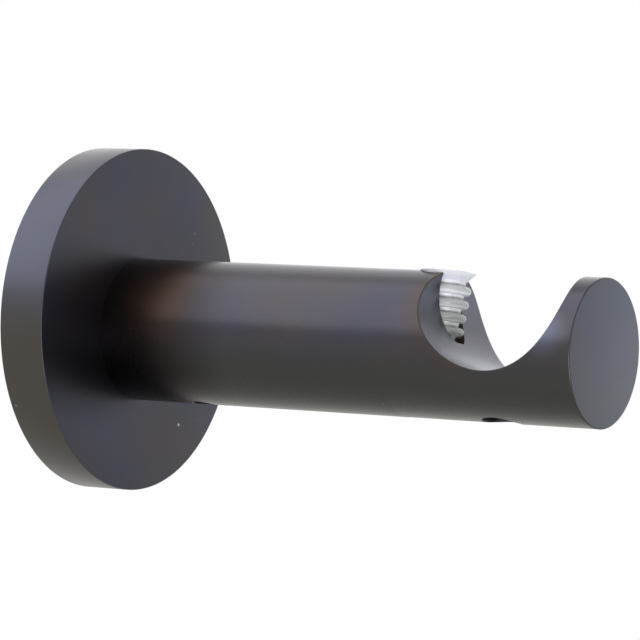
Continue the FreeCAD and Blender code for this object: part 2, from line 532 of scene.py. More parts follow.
def pocket_radius_at(z):
    """The pocket narrows from the crown to its floor."""
    share = (z - pocket_floor_z) / (crown_z - pocket_floor_z)
    return POCKET_FLOOR_RADIUS + (POCKET_MOUTH_RADIUS - POCKET_FLOOR_RADIUS) * share


def pocket_cutter():
    """The tapered pocket with the countersink that holds the plug's head."""
    mouth = head_radius + PLUG_PLAY
    cone_foot = head_rim_z - (mouth - pocket_radius_at(head_rim_z))
    above = crown_z + CUTTER_OVERRUN
    outline = [
        (pocket_floor_z, 0),
        (pocket_floor_z, POCKET_FLOOR_RADIUS),
        (cone_foot, pocket_radius_at(cone_foot)),
        (head_rim_z, mouth),
        (above, mouth),
        (above, 0),
    ]
    return add_piece("pocket_cutter", *lathe_mesh(outline, upright(plug_x), POCKET_STEPS))


print("pocket floor at", round(pocket_floor_z / MM, 2), "mm,",
      "its axis at x =", round(plug_x / MM, 1))

# %% [markdown]
# Two holes open downwards: a small one near the rose for the lock screw, and a counterbored
# one under the seat for the screw that holds the pole. The underside is curved, so a cone
# would chamfer their mouths unevenly. Each cutter flares instead along a line that crosses the
# post's skin at the same distance from the hole's wall all the way round.

# %% Holes in the post
LOCK_HOLE_RADIUS = 2.0 * MM
POLE_SCREW_BEHIND_SEAT = 1.1 * MM
POLE_SCREW_RADIUS = 2.25 * MM
COUNTERBORE_RADIUS = 3.5 * MM
COUNTERBORE_DEPTH = 4.2 * MM
MOUTH_FLARE = 0.15 * MM
FLARE_RUN = 3
HOLE_STEPS = 96
lock_low, lock_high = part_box("lock_screw")
lock_x = (lock_low.x + lock_high.x) / 2
pole_screw_x = saddle_x - POLE_SCREW_BEHIND_SEAT
underside_z = post_low.z


def capped_tube(name, rings):
    """A closed mesh of rings of points: quads between the rings and a flat face on each end."""
    steps = len(rings[0])
    rows = [ring + ring[:1] for ring in rings]
    verts = [point for row in rows for point in row]
    last = len(verts) - steps - 1
    ends = [tuple(range(steps)), tuple(range(last, last + steps))]
    return add_piece(name, verts, grid_faces(rows) + ends)


def flared_cutter(name, x, radius, inner):
    """A cutter for a hole from below: a flared mouth, then (height, radius) points going up."""
    widest = radius + (FLARE_RUN + 1) * MOUTH_FLARE
    columns = []
    for step in range(HOLE_STEPS):
        angle = 2 * math.pi * (step + 0.5) / HOLE_STEPS
        outwards = Vector((math.cos(angle), math.sin(angle), 0))
        mouth_y = (radius + MOUTH_FLARE) * outwards.y
        skin_z = post_z - math.sqrt(post_radius ** 2 - mouth_y ** 2)
        stations = [
            (underside_z - CUTTER_OVERRUN, widest),
            (skin_z - FLARE_RUN * MOUTH_FLARE, widest),
            (skin_z + MOUTH_FLARE, radius),
            *inner,
        ]
        columns.append([Vector((x, 0, z)) + outwards * across for z, across in stations])
    return capped_tube(name, [list(ring) for ring in zip(*columns)])


def hole_cutters():
    """The lock screw's hole and the counterbored hole for the pole's screw."""
    lock_inner = [(post_z, LOCK_HOLE_RADIUS)]
    shoulder = underside_z + COUNTERBORE_DEPTH
    pole_inner = [
        (shoulder, COUNTERBORE_RADIUS),
        (shoulder, POLE_SCREW_RADIUS),
        (saddle_z, POLE_SCREW_RADIUS),
    ]
    return [
        flared_cutter("lock_hole_cutter", lock_x, LOCK_HOLE_RADIUS, lock_inner),
        flared_cutter("pole_hole_cutter", pole_screw_x, COUNTERBORE_RADIUS, pole_inner),
    ]


cut_with(post_bar, [pocket_cutter(), *hole_cutters()])
print("post with its holes:", len(post_bar.data.polygons), "faces,",
      open_edges(post_bar), "open edges")

# %% [markdown]
# The plug is a clear plastic moulding, turned in outline: a thin domed head that lies in the
# countersink, a neck and four soft round ribs that grip the pocket. Each rib is half an
# ellipse, and the ribs shrink downwards because they follow the pocket's taper. The tail leans
# a hair's breadth to one side, as a plug pushed in by hand does.

# %% Ribbed plug
RIB_COUNT = 4
RIB_PITCH = 2.32 * MM
RIB_HALF_WIDTH = 0.8 * MM
RIB_HEIGHT = 1.12 * MM
RIB_SHRINK = 0.12 * MM
RIB_FULLNESS = 0.8
RIB_STEPS = 12
PLUG_TIP_RADIUS = 2.04 * MM
TAIL_LEAN = Vector((0.10, 0.13, 0)) * MM
FIRST_RIB_Z = crown_z - 3.18 * MM
HEAD_EDGE = 0.12 * MM
DOME_CORNER = 3.3 * MM
DOME_ROUND = 6 * MM
DOME_STEPS = 6
PLUG_STEPS = 96
MOULDED_CREASE = 50


def make_plug():
    """The plug's outline from its tip up to its head, turned about a vertical axis."""
    outline = [(plug_low.z, 0), (plug_low.z, PLUG_TIP_RADIUS)]
    for number in reversed(range(RIB_COUNT)):
        middle = FIRST_RIB_Z - number * RIB_PITCH
        tip = pocket_radius_at(middle) - PLUG_PLAY - number * RIB_SHRINK
        for step in range(RIB_STEPS + 1):
            turn = math.pi * step / RIB_STEPS
            rise = RIB_HEIGHT * math.sin(turn) ** RIB_FULLNESS
            outline.append((middle - RIB_HALF_WIDTH * math.cos(turn), tip - RIB_HEIGHT + rise))
    neck = POCKET_MOUTH_RADIUS - PLUG_PLAY - RIB_HEIGHT
    neck_top = head_rim_z - (head_radius - neck)
    top = [
        (neck_top, neck),
        (head_rim_z, head_radius),
        (head_rim_z + HEAD_EDGE, head_radius),
        (plug_high.z, DOME_CORNER),
        (plug_high.z, 0),
    ]
    outline += rounded(top, [0, HEAD_EDGE / 2, HEAD_EDGE, DOME_ROUND, 0], DOME_STEPS)
    verts, faces = lathe_mesh(outline, upright(plug_x), PLUG_STEPS)
    leaning = []
    for point in verts:
        share = (neck_top - point.z) / (neck_top - plug_low.z)
        leaning.append(point + TAIL_LEAN * max(0, share))
    return add_piece("clear_plug", leaning, faces, crease=MOULDED_CREASE)


clear_plug = make_plug()
print("clear plug:", len(clear_plug.data.polygons), "faces")

# %% [markdown]
# A screw's thread is a groove that climbs as it goes round. In a lathe mesh that is one more
# term: the radius of each point falls and rises with its height, shifted by its angle, so one
# turn climbs one pitch. Near both ends the groove fades out, as a rolled thread does.

# %% Threads
THREAD_RINGS_PER_PITCH = 10
THREAD_STEPS = 64
THREAD_RUN_OUT = 6
THREAD_CREASE = 50


def threaded_stretch(start, stop, radius, pitch, depth, centre):
    """Rings of points of a thread that climbs along Z from start to stop."""
    ring_count = round(abs(stop - start) / pitch * THREAD_RINGS_PER_PITCH)
    rows = []
    for ring in range(ring_count + 1):
        share = ring / ring_count
        along = start + (stop - start) * share
        fade = min(1, THREAD_RUN_OUT * share, THREAD_RUN_OUT * (1 - share))
        row = []
        for step in range(THREAD_STEPS):
            turn = step / THREAD_STEPS
            phase = (along / pitch - turn) % 1
            groove = 1 - abs(2 * phase - 1)
            across = radius - depth * fade * groove
            row.append(axis_point(("z", centre), along, across, 2 * math.pi * turn))
        rows.append(row)
    return rows


def threaded_piece(name, before, thread, after, centre):
    """A screw standing along Z: plain rings, a thread and plain rings again."""
    verts, faces = [], []
    for outline in (before, after):
        turned_stretch(verts, faces, outline, ("z", centre), THREAD_STEPS)
    rows = threaded_stretch(*thread, centre)
    closed_rows = [row + row[:1] for row in rows]
    faces += grid_faces(closed_rows, len(verts))
    verts += [point for row in closed_rows for point in row]
    return add_piece(name, verts, faces, crease=THREAD_CREASE)


print("a thread has", THREAD_RINGS_PER_PITCH, "rings for each turn")

# %% [markdown]
# Both screws are turned with a hexagon key. The socket is a boolean too, with a prism of six
# sides as the cutter, and its mouth widens in a short cone so that the key finds its way in.

# %% Key sockets
HEXAGON_SIDES = 6
SOCKET_CONE = 0.12


def hexagon_cutter(name, across_flats, start, stop, centre):
    """A hexagonal prism along Z for a key socket, with a short cone at its open end."""
    corner = across_flats / math.sqrt(3)
    mouth = SOCKET_CONE * across_flats
    stations = [(start - mouth, corner + 2 * mouth), (start + mouth, corner), (stop, corner)]
    turn = 2 * math.pi / HEXAGON_SIDES
    rings = []
    for along, size in stations:
        rings.append([axis_point(("z", centre), along, size, turn * side)
                      for side in range(HEXAGON_SIDES)])
    return capped_tube(name, rings)


print("key sockets have", HEXAGON_SIDES, "sides")

# %% [markdown]
# The lock screw is a small cup-point grub screw. It sits wholly inside its hole, so only its
# hexagon socket can be seen, by looking straight up into the hole.

# %% Lock screw
LOCK_PITCH = 0.7 * MM
LOCK_GROOVE = 0.3 * MM
LOCK_KEY = 2.0 * MM
LOCK_SOCKET_DEPTH = 2.0 * MM
LOCK_TAIL_CHAMFER = 0.3 * MM
LOCK_POINT_LENGTH = 0.55 * MM
LOCK_CUP_OUTSIDE = 0.5 * MM
LOCK_CUP_INSIDE = 1.0 * MM
LOCK_CUP_DEPTH = 0.5 * MM


def make_lock_screw():
    """A grub screw with its socket below and its cup point on the spigot."""
    centre = Vector((lock_x, 0, 0))
    tail, point = lock_low.z, lock_high.z
    radius = (lock_high.x - lock_low.x) / 2
    thread_start = tail + LOCK_TAIL_CHAMFER
    thread_stop = point - LOCK_POINT_LENGTH
    before = [(tail, 0), (tail, radius - LOCK_TAIL_CHAMFER), (thread_start, radius)]
    after = [
        (thread_stop, radius),
        (point, radius - LOCK_CUP_OUTSIDE),
        (point, radius - LOCK_CUP_INSIDE),
        (point - LOCK_CUP_DEPTH, 0),
    ]
    thread = (thread_start, thread_stop, radius, LOCK_PITCH, LOCK_GROOVE)
    screw = threaded_piece("grub_screw", before, thread, after, centre)
    socket_end = tail + LOCK_SOCKET_DEPTH
    cut_with(screw, [hexagon_cutter("socket_cutter", LOCK_KEY, tail, socket_end, centre)])
    return screw


grub_screw = make_lock_screw()
print("grub screw:", len(grub_screw.data.polygons), "faces")

# %% [markdown]
# Behind the rose is the part that the fitter screws to the wall: a round steel plate with
# three countersunk holes, and in its middle a stud, the spigot, that the post slides over. The
# plate is a turned disc, and its holes are cut like those of the post. The fourth hole opens
# backwards: the screw that holds the stud sits in it, clear of the wall.

# %% Wall plate
PLATE_EDGE = 0.4 * MM
PLATE_STEPS = 128
PLATE_HOLE_STEPS = 64
WALL_SCREW_COUNT = 3
WALL_SCREW_CIRCLE = 38 * MM
WALL_SCREW_RADIUS = 2.5 * MM
COUNTERSINK_RADIUS = 4.8 * MM
SPIGOT_SCREW_HEAD = 4.65 * MM
SPIGOT_SCREW_SHANK = 2.5 * MM
plate_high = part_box("wall_plate")[1]
screw_low, screw_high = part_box("spigot_screw")


def make_wall_plate():
    """A turned disc with three countersunk holes, and one from behind for the stud's screw."""
    thickness = plate_high.x
    outline = [(0, 0), (0, plate_high.y), (thickness, plate_high.y), (thickness, 0)]
    outline = rounded(outline, [0, PLATE_EDGE / 2, PLATE_EDGE, 0])
    plate = add_piece("steel_plate", *lathe_mesh(outline, ROSE_AXIS, PLATE_STEPS))
    cutters = []
    proud = 1 * MM
    for number in range(WALL_SCREW_COUNT):
        angle = math.pi / 2 + 2 * math.pi * number / WALL_SCREW_COUNT
        centre = Vector((0, math.cos(angle), math.sin(angle))) * WALL_SCREW_CIRCLE / 2
        sink_foot = thickness - (COUNTERSINK_RADIUS - WALL_SCREW_RADIUS)
        hole = [
            (-proud, 0),
            (-proud, WALL_SCREW_RADIUS),
            (sink_foot, WALL_SCREW_RADIUS),
            (thickness + proud, COUNTERSINK_RADIUS + proud),
            (thickness + proud, 0),
        ]
        hole_mesh = lathe_mesh(hole, ("x", centre), PLATE_HOLE_STEPS)
        cutters.append(add_piece("screw_hole_cutter", *hole_mesh))
    recess = screw_low.x
    cone_foot = recess + SPIGOT_SCREW_HEAD - SPIGOT_SCREW_SHANK
    seat = [
        (-proud, 0),
        (-proud, SPIGOT_SCREW_HEAD),
        (recess, SPIGOT_SCREW_HEAD),
        (cone_foot, SPIGOT_SCREW_SHANK),
        (thickness + proud, SPIGOT_SCREW_SHANK),
        (thickness + proud, 0),
    ]
    cutters.append(add_piece("seat_cutter", *lathe_mesh(seat, POST_AXIS, PLATE_HOLE_STEPS)))
    cut_with(plate, cutters)
    return plate


steel_plate = make_wall_plate()
print("steel plate:", len(steel_plate.data.polygons), "faces")

# %% [markdown]
# The spigot is a plain turned stud with a tapped hole for its screw. Its far end is well
# rounded, so that the post slides over it easily, and a fine line is turned into it beside the
# place where the lock screw bears.

# %% Spigot
SPIGOT_STEPS = 96
SPIGOT_TAPPING = 14 * MM
SPIGOT_TAPPING_EDGE = 0.2 * MM
SPIGOT_FOOT_EDGE = 0.3 * MM
SPIGOT_TIP_EDGE = 1.0 * MM
SPIGOT_LINE = (2.4 * MM, 2.15 * MM, 2.0 * MM)
SPIGOT_LINE_DEPTH = 0.125 * MM
spigot_low, spigot_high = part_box("spigot")


def make_spigot():
    """The stud, with a rounded end and a fine turned line beside the lock screw's place."""
    radius = (spigot_high.y - spigot_low.y) / 2
    line_start, line_middle, line_stop = (lock_x - reach for reach in SPIGOT_LINE)
    outline = [
        (spigot_low.x + SPIGOT_TAPPING, 0),
        (spigot_low.x + SPIGOT_TAPPING, SPIGOT_SCREW_SHANK),
        (spigot_low.x, SPIGOT_SCREW_SHANK),
        (spigot_low.x, radius),
        (line_start, radius),
        (line_middle, radius - SPIGOT_LINE_DEPTH),
        (line_stop, radius),
        (spigot_high.x, radius),
        (spigot_high.x, 0),
    ]
    radii = [0, 0, SPIGOT_TAPPING_EDGE, SPIGOT_FOOT_EDGE, 0, 0, 0, SPIGOT_TIP_EDGE, 0]
    points = rounded(outline, radii)
    return add_piece("steel_spigot", *lathe_mesh(points, POST_AXIS, SPIGOT_STEPS))


steel_spigot = make_spigot()
print("steel spigot:", len(steel_spigot.data.polygons), "faces")

# %% [markdown]
# The spigot's screw is made standing up, as the lock screw is, because the thread helper only
# knows upright screws. Its mesh is then turned to lie along the post's axis.

# %% Spigot screw
SCREW_PLAY = 0.05 * MM
SCREW_HEAD_EDGE = 0.15 * MM
SCREW_TIP_CHAMFER = 0.6 * MM
SCREW_PITCH = 0.8 * MM
SCREW_GROOVE = 0.3 * MM
SCREW_KEY = 3.0 * MM
SCREW_SOCKET_DEPTH = 1.8 * MM


def make_spigot_screw():
    """A countersunk socket screw that lies along X, its head in the plate's back."""
    middle = Vector((0, 0, 0))
    head = SPIGOT_SCREW_HEAD - SCREW_PLAY
    shank = SPIGOT_SCREW_SHANK - SCREW_PLAY
    back, tip = screw_low.x, screw_high.x
    cone_foot = back + head - shank
    thread_stop = tip - SCREW_TIP_CHAMFER
    before = [
        (back, 0),
        (back, head - SCREW_HEAD_EDGE),
        (back + SCREW_HEAD_EDGE, head),
        (cone_foot, shank),
    ]
    after = [(thread_stop, shank), (tip, shank - SCREW_TIP_CHAMFER), (tip, 0)]
    thread = (cone_foot, thread_stop, shank, SCREW_PITCH, SCREW_GROOVE)
    screw = threaded_piece("countersunk_screw", before, thread, after, middle)
    socket_end = back + SCREW_SOCKET_DEPTH
    cut_with(screw, [hexagon_cutter("key_cutter", SCREW_KEY, back, socket_end, middle)])
    lay_down = Matrix.Translation((0, 0, post_z)) @ Matrix.Rotation(math.pi / 2, 4, "Y")
    screw.data.transform(lay_down)
    return screw


countersunk_screw = make_spigot_screw()
print("countersunk screw:", len(countersunk_screw.data.polygons), "faces")

# %% [markdown]
# Each fine piece now stands for its plain one and rides with the bracket's one body.

# %% Which piece stands for which
STANDS_FOR = [
    (rose_cover, "rose", "plated_metal"),
    (post_bar, "post", "plated_metal"),
    (clear_plug, "ribbed_plug", "clear_plastic"),
    (grub_screw, "lock_screw", "screw_steel"),
    (steel_plate, "wall_plate", "zinc_steel"),
    (steel_spigot, "spigot", "zinc_steel"),
    (countersunk_screw, "spigot_screw", "zinc_steel"),
]
for piece, node, finish in STANDS_FOR:
    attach(piece, "root")
    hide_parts(node)
    low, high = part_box(node)
    corners = [piece.matrix_world @ Vector(corner) for corner in piece.bound_box]
    piece_low = [min(corner[axis] for corner in corners) for axis in range(3)]
    piece_high = [max(corner[axis] for corner in corners) for axis in range(3)]
    proud = max(max(low[axis] - piece_low[axis], piece_high[axis] - high[axis])
                for axis in range(3))
    print(piece.name, "stands for", node, "and is proud of it by", round(proud / MM, 3), "mm")

# %% [markdown]
# Materials are built from a few nodes each. Small helpers make a node, set its inputs and
# link what is given as a link, so that each finish below reads as a short recipe.

# %% Node helpers
def feed(tree, socket, source):
    """Link an output to a socket, or set the socket to a plain value."""
    if isinstance(source, bpy.types.NodeSocket):
        tree.links.new(source, socket)
    else:
        socket.default_value = source


def add_node(tree, kind, inputs=(), **values):
    """Add a node, set its properties, and feed its inputs from (input, source) pairs."""
    node = tree.nodes.new(kind)
    for name, value in values.items():
        setattr(node, name, value)
    for socket, source in inputs:
        feed(tree, node.inputs[socket], source)
    return node


def new_finish(name):
    """A new material, with its node tree, its shader and the object's own coordinates."""
    material = bpy.data.materials.new(name)
    material.use_nodes = True
    tree = material.node_tree
    shader = tree.nodes["Principled BSDF"]
    place = add_node(tree, "ShaderNodeTexCoord").outputs["Object"]
    return material, tree, shader, place


def noise(tree, place, scale, detail=2.0, roughness=0.5, stretch=(1, 1, 1)):
    """Smooth random values over the surface, finer as the scale rises."""
    mapping = add_node(tree, "ShaderNodeMapping", [("Vector", place), ("Scale", stretch)])
    texture = add_node(tree, "ShaderNodeTexNoise", [
        ("Vector", mapping.outputs["Vector"]), ("Scale", scale), ("Detail", detail),
        ("Roughness", roughness),
    ])
    return texture.outputs["Fac"]


def spread(tree, value, low, high, to_low=0.0, to_high=1.0):
    """Stretch the part of a value between low and high to a new range."""
    return add_node(tree, "ShaderNodeMapRange", [
        ("Value", value), ("From Min", low), ("From Max", high),
        ("To Min", to_low), ("To Max", to_high),
    ]).outputs["Result"]


# A mix node lists its number, vector and colour sockets one after another.
SHARE_SOCKET, ONE_SOCKET, OTHER_SOCKET, COLOUR_OUTPUT = 0, 6, 7, 2


def blend_colours(tree, share, one, other):
    """Mix two colours by a share."""
    node = add_node(tree, "ShaderNodeMix", data_type="RGBA")
    for number, source in ((SHARE_SOCKET, share), (ONE_SOCKET, one), (OTHER_SOCKET, other)):
        feed(tree, node.inputs[number], source)
    return node.outputs[COLOUR_OUTPUT]


def maths(tree, operation, one, other=0.0):
    """One step of arithmetic on two values."""
    node = add_node(tree, "ShaderNodeMath", [(0, one), (1, other)], operation=operation)
    return node.outputs["Value"]


def vector_maths(tree, operation, one, other, result="Value"):
    """One step of arithmetic on two vectors."""
    node = add_node(tree, "ShaderNodeVectorMath", [(0, one), (1, other)], operation=operation)
    return node.outputs[result]


def part_of(tree, vector, axis):
    """One coordinate of a vector."""
    return add_node(tree, "ShaderNodeSeparateXYZ", [("Vector", vector)]).outputs[axis]


print("node helpers ready")

# %% [markdown]
# The bracket's finish is a dark satin plating, between black nickel and oil-rubbed bronze. It
# is a metal, so almost all that is seen of it is a soft reflection: its own colour is a cool
# dark grey with faint warm patches. It is rubbed warmer where the pole goes in. Painted light
# and shade are laid on top: painted shade on the underside and towards the rose, a painted
# warm reflection where the post meets the rose, painted light in the seat, a painted highlight
# on the lug, painted shade low on the rose's face, and on the rose's turned rim a lighter tone
# with painted light and a painted warm reflection. Where such a place begins and ends is
# worked out from the surface's own position, as a share between 0 and 1, so it stays put from
# whichever side the bracket is seen.

# %% Places on the bracket
ALL_BUT_X, ALL_BUT_Y, ALL_BUT_Z = (0, 1, 1), (1, 0, 1), (1, 1, 0)
SKIN_FADE = (post_radius - 0.3 * MM, post_radius - 0.1 * MM)
WALL_SIDE_FADE = (saddle_x, saddle_x - 6 * MM)
POCKET_WALL_FADE = (0.04 * MM, 0.02 * MM)
POCKET_FLOOR_MARGIN = 0.05 * MM
SEAT_SKIN = 0.4 * MM
BEVEL_SAMPLES = 4


def edge_share(tree, width, flat, sharp):
    """1 on edges and 0 on flat stretches, from how far a rounded normal leans away."""
    bevel = add_node(tree, "ShaderNodeBevel", [("Radius", width)], samples=BEVEL_SAMPLES)
    true_normal = add_node(tree, "ShaderNodeNewGeometry").outputs["Normal"]
    same = vector_maths(tree, "DOT_PRODUCT", bevel.outputs["Normal"], true_normal)
    return spread(tree, same, flat, sharp)


def from_line(tree, place, all_but, centre):
    """How far the surface is from a line that runs along the axis left out of all_but."""
    across = vector_maths(tree, "MULTIPLY", place, all_but, "Vector")
    return vector_maths(tree, "DISTANCE", across, centre)


def near_seat(tree, place, reach):
    """1 at the skin of the pole's seat, fading to 0 at a distance from it."""
    from_axis = from_line(tree, place, ALL_BUT_Y, (saddle_x, 0, saddle_z))
    return spread(tree, from_axis, saddle_radius + reach, saddle_radius)


def on_bar(tree, place):
    """1 on the bar's own skin and 0 inside the seat."""
    return spread(tree, from_line(tree, place, ALL_BUT_X, (0, 0, post_z)), *SKIN_FADE)


def on_wall_side(tree, place):
    """1 on the bar's own skin on the wall side of the seat, and 0 elsewhere."""
    wall_side = spread(tree, part_of(tree, place, "X"), *WALL_SIDE_FADE)
    return maths(tree, "MULTIPLY", on_bar(tree, place), wall_side)


def in_pocket(tree, place):
    """1 on the wall and floor of the plug's pocket, and 0 outside it."""
    from_axis = from_line(tree, place, ALL_BUT_Z, (plug_x, 0, 0))
    height = part_of(tree, place, "Z")
    wall = spread(tree, height, pocket_floor_z, crown_z, POCKET_FLOOR_RADIUS, POCKET_MOUTH_RADIUS)
    past_wall = maths(tree, "SUBTRACT", from_axis, wall)
    below_floor = maths(tree, "LESS_THAN", height, pocket_floor_z - POCKET_FLOOR_MARGIN)
    inside = spread(tree, past_wall, *POCKET_WALL_FADE)
    return maths(tree, "MULTIPLY", inside, maths(tree, "SUBTRACT", 1, below_floor))


def in_seat(tree, place):
    """1 on the skin of the pole's seat and 0 everywhere else."""
    return maths(tree, "SUBTRACT", near_seat(tree, place, SEAT_SKIN), on_bar(tree, place))


def near_root(tree, along, middle, reach):
    """1 on a ring round the post, fading softly to 0 on both sides of it."""
    away = maths(tree, "ABSOLUTE", maths(tree, "SUBTRACT", along, middle))
    fade = add_node(tree, "ShaderNodeMapRange", [
        ("Value", away), ("From Min", reach), ("From Max", 0.0),
    ], interpolation_type="SMOOTHSTEP")
    return fade.outputs["Result"]


def near_spot(tree, place, spot, reach, core=0.0):
    """1 within the core of a spot on the surface, fading to 0 at its reach."""
    return spread(tree, vector_maths(tree, "DISTANCE", place, spot), reach, core)


print("place helpers ready")

# %% [markdown]
# A few pale grains of dust lie on the bracket. Each is a tiny round spot at a place on the
# skin, in millimetres, with a radius and a lightness of its own. At this size a change of
# colour is enough, and a mesh for each grain would be wasted.

# %% Dust
DUST_CORE = 0.5
DUST_COOLNESS = 1.03
ROSE_DUST = [
    ((8.7, 13.7, 17.5), 0.28, 0.13),
    ((8.7, 15.2, -17.1), 0.34, 0.42),
    ((8.7, 5.2, 14.0), 0.25, 0.09),
    ((8.7, 13.4, 15.5), 0.25, 0.09),
    ((8.7, 21.2, -15.7), 0.25, 0.09),
    ((1.0, -23.9, -18.4), 0.30, 0.16),
]
POST_DUST = [((63.4, -5.9, -12.7), 0.25, 0.08)]


def specks(tree, place, colour, spots):
    """Lay small grains of dust on a colour: each spot is a place, a radius and a lightness."""
    for spot, radius, lightness in spots:
        share = near_spot(tree, place, Vector(spot) * MM, radius * MM, radius * MM * DUST_CORE)
        dust = (lightness, lightness, lightness * DUST_COOLNESS, 1)
        colour = blend_colours(tree, share, colour, dust)
    return colour


print("grains of dust:", len(ROSE_DUST) + len(POST_DUST))

# %% [markdown]
# The plating's recipe is shared by the post and the rose, and each adds places of its own. On
# the post these are painted shade on the underside and towards the wall end, a painted warm
# reflection round the root, the rubbed skin beside the seat with bronze on its edge, painted
# light inside the seat, a painted highlight on the lug and the bare metal in the pocket. On the
# rose they are a band of painted shade low on the face and the turned rim, which is lighter and
# carries painted light and a painted warm reflection. Both wear the dust.

# %% Colours of the dark plating
PLATING_DARK = (0.053, 0.053, 0.071, 1)
PLATING_WARM = (0.063, 0.058, 0.062, 1)
# The underside colour is painted shade.
PLATING_UNDER_SHADE = (0.048, 0.049, 0.045, 1)
PLATING_RUBBED = (0.064, 0.052, 0.050, 1)
# These two are painted shade towards the rose, on the skin and on the underside.
PLATING_NEAR_ROSE_SHADE = (0.036, 0.030, 0.029, 1)
PLATING_NEAR_ROSE_SHADE_UNDER = (0.020, 0.017, 0.017, 1)
# Painted warm reflection of the rose round the post's root.
PLATING_ROOT_REFLECTION = (0.074, 0.046, 0.036, 1)
PLATING_BRONZE = (0.095, 0.080, 0.048, 1)
PLATING_SEAT = (0.060, 0.062, 0.076, 1)
# The seat's far and low colours are painted light.
PLATING_SEAT_FAR_LIGHT = (0.104, 0.104, 0.126, 1)
PLATING_SEAT_LOW_LIGHT = (0.151, 0.153, 0.188, 1)
# Painted highlight on the lug.
PLATING_LUG_HIGHLIGHT = (0.104, 0.115, 0.158, 1)
PLATING_ROSE = (0.053, 0.055, 0.078, 1)
# Painted shade low on the rose's face.
PLATING_ROSE_SHADE = (0.040, 0.040, 0.050, 1)
# The rim's own colour is lighter than the face and partly painted light; its low colour is a
# painted warm reflection and its top colour is painted light.
PLATING_RIM_LOW_REFLECTION = (0.070, 0.065, 0.059, 1)
PLATING_RIM = (0.074, 0.077, 0.101, 1)
PLATING_RIM_TOP_LIGHT = (0.110, 0.105, 0.117, 1)
BARE_CASTING = (0.18, 0.145, 0.12, 1)
PLATING_ROUGHNESS = 0.28
ROSE_ROUGHNESS = 0.34
print("the plating's roughness:", PLATING_ROUGHNESS, "on the post,", ROSE_ROUGHNESS, "on the rose")

# %% [markdown]
# What both pieces share comes first. Two noises, one as fine as the plating's grain and one as
# broad as a smear from a hand, vary the gloss, and a very faint bump keeps the reflections
# from looking like glass.

# %% Shared plating
PATCH_NOISE = (60, 3)
PATCH_FADE = (0.38, 0.68)
GRAIN_NOISE = (1500, 4, 0.6)
SMEAR_NOISE = (45, 3)
GLOSS_FADE = (0.6, 1.4)
GLOSS_BELOW, GLOSS_ABOVE = 0.03, 0.04
BUMP_NOISE = (3500, 2)
BUMP_STRENGTH = 0.03
BUMP_HEIGHT = 0.02 * MM


def add_bump(tree, shader, height, strength):
    """A faint bump on a shader, from a height between 0 and 1."""
    bump = add_node(tree, "ShaderNodeBump", [
        ("Height", height), ("Strength", strength), ("Distance", BUMP_HEIGHT),
    ])
    feed(tree, shader.inputs["Normal"], bump.outputs["Normal"])


def start_plating(name, main, roughness):
    """Dark satin plating with faint warm patches, and its colour still to be linked."""
    material, tree, shader, place = new_finish(name)
    patches = spread(tree, noise(tree, place, *PATCH_NOISE), *PATCH_FADE)
    colour = blend_colours(tree, patches, main, PLATING_WARM)
    grain = noise(tree, place, *GRAIN_NOISE)
    smear = noise(tree, place, *SMEAR_NOISE)
    varied = spread(tree, maths(tree, "ADD", grain, smear), *GLOSS_FADE,
                    roughness - GLOSS_BELOW, roughness + GLOSS_ABOVE)
    feed(tree, shader.inputs["Roughness"], varied)
    add_bump(tree, shader, noise(tree, place, *BUMP_NOISE), BUMP_STRENGTH)
    shader.inputs["Metallic"].default_value = 1.0
    return material, tree, shader, place, colour


print("shared plating ready")

# %% [markdown]
# Each fade below names two values of a coordinate: where a tint isn't there yet and where it
# is full. The order of the tints matters, because a later one covers those before it.

# %% The post's plating
# Painted shade on the underside and towards the rose.
UNDER_SHADE_FADE = (post_z - 1 * MM, post_z - 8 * MM)
NEAR_ROSE_SHADE_FADE = (34 * MM, 22 * MM)
# Painted warm reflection round the root, above the axis and strongest on the near side.
ABOVE_FADE = (post_z - 4 * MM, post_z + 3 * MM)
ROOT_RING, ROOT_REACH = 18 * MM, 10 * MM
ROOT_REFLECTION_SIDE_FADE = (4 * MM, -4 * MM)
ROOT_REFLECTION_LEAST = 0.35
RUBBED_REACH = 4 * MM
# Painted light in the seat.
SEAT_FAR_LIGHT_FADE = (-6 * MM, 3 * MM)
SEAT_LOW_LIGHT_FADE = (post_z + 3 * MM, post_z - 3 * MM)
# Painted highlight on the lug.
LUG_HIGHLIGHT_PLACE = Vector((95.6, -12.4, 0.2)) * MM
LUG_HIGHLIGHT_REACH = 4.7 * MM
WORN_EDGE_WIDTH = 0.35 * MM
WORN_EDGE_FADE = (0.995, 0.90)
WORN_EDGE_REACH = 1 * MM
WORN_NOISE = (260, 3)
WORN_FADE = (0.42, 0.6)


